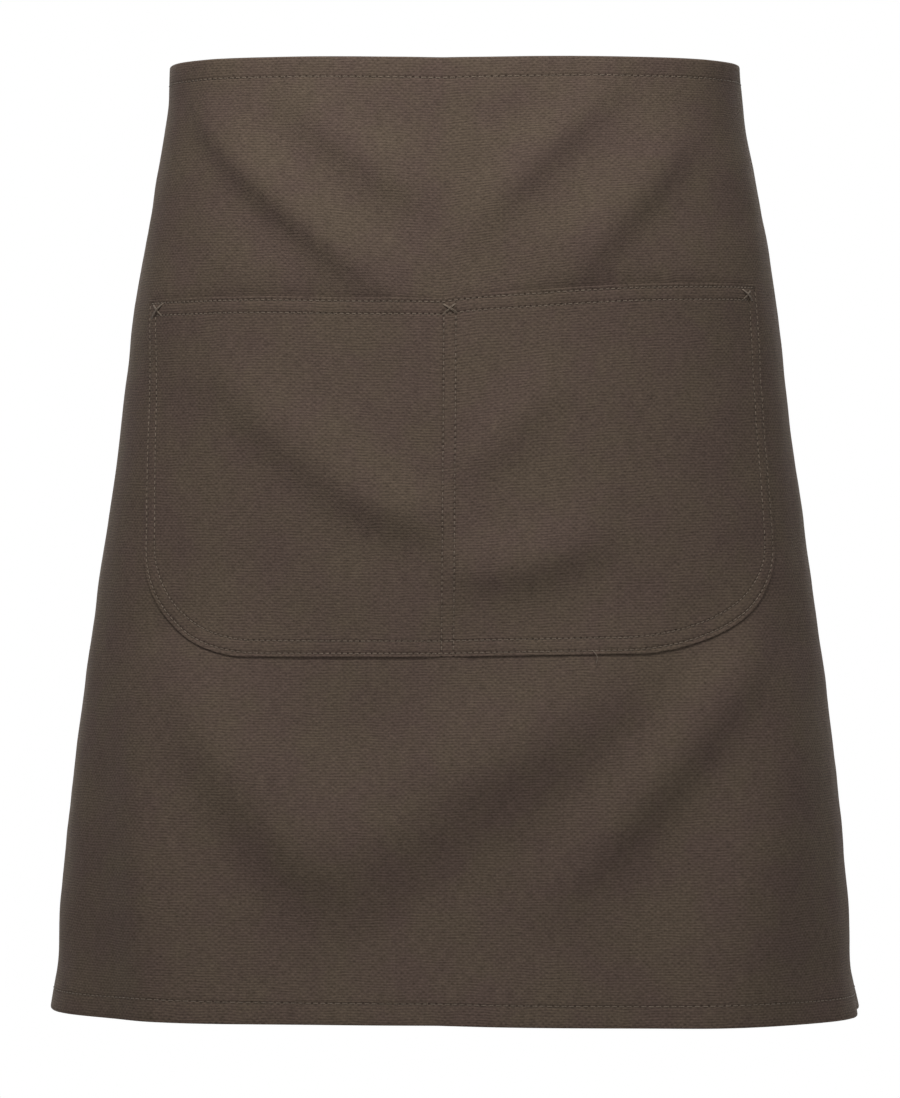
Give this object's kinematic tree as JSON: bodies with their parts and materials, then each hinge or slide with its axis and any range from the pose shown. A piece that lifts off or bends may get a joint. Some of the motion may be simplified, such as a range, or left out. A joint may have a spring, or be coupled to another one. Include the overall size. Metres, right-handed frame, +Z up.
{
  "type": "canvas waist apron",
  "caption": "Waist apron of plain canvas in its worn shape, with a wide divided patch pocket and ties that make a bow at the back.",
  "frame": {"origin": "middle of the waist opening, level with the panel's top edge", "axes": "+X to the right as the front is looked at, +Y to the back, +Z up"},
  "size_m": [0.4313, 0.2644, 0.5033],
  "materials": {
    "canvas": "matt brown-grey polyester and cotton canvas, rib woven",
    "tie_cloth": "the same canvas folded into a flat tie, stitched along both edges",
    "thread": "spun sewing thread, a little lighter than the cloth"
  },
  "bodies": {
    "root": {"body_panel": "canvas", "waist_hem": "canvas", "bottom_hem": "canvas", "side_hem_left": "canvas", "side_hem_right": "canvas", "pocket": "canvas", "pocket_hem": "canvas", "waist_tie_left": "tie_cloth", "waist_tie_right": "tie_cloth", "bow_knot": "tie_cloth", "bow_loop_left": "tie_cloth", "bow_loop_right": "tie_cloth", "tie_tail_left": "tie_cloth", "tie_tail_right": "tie_cloth"}
  },
  "joints": []
}
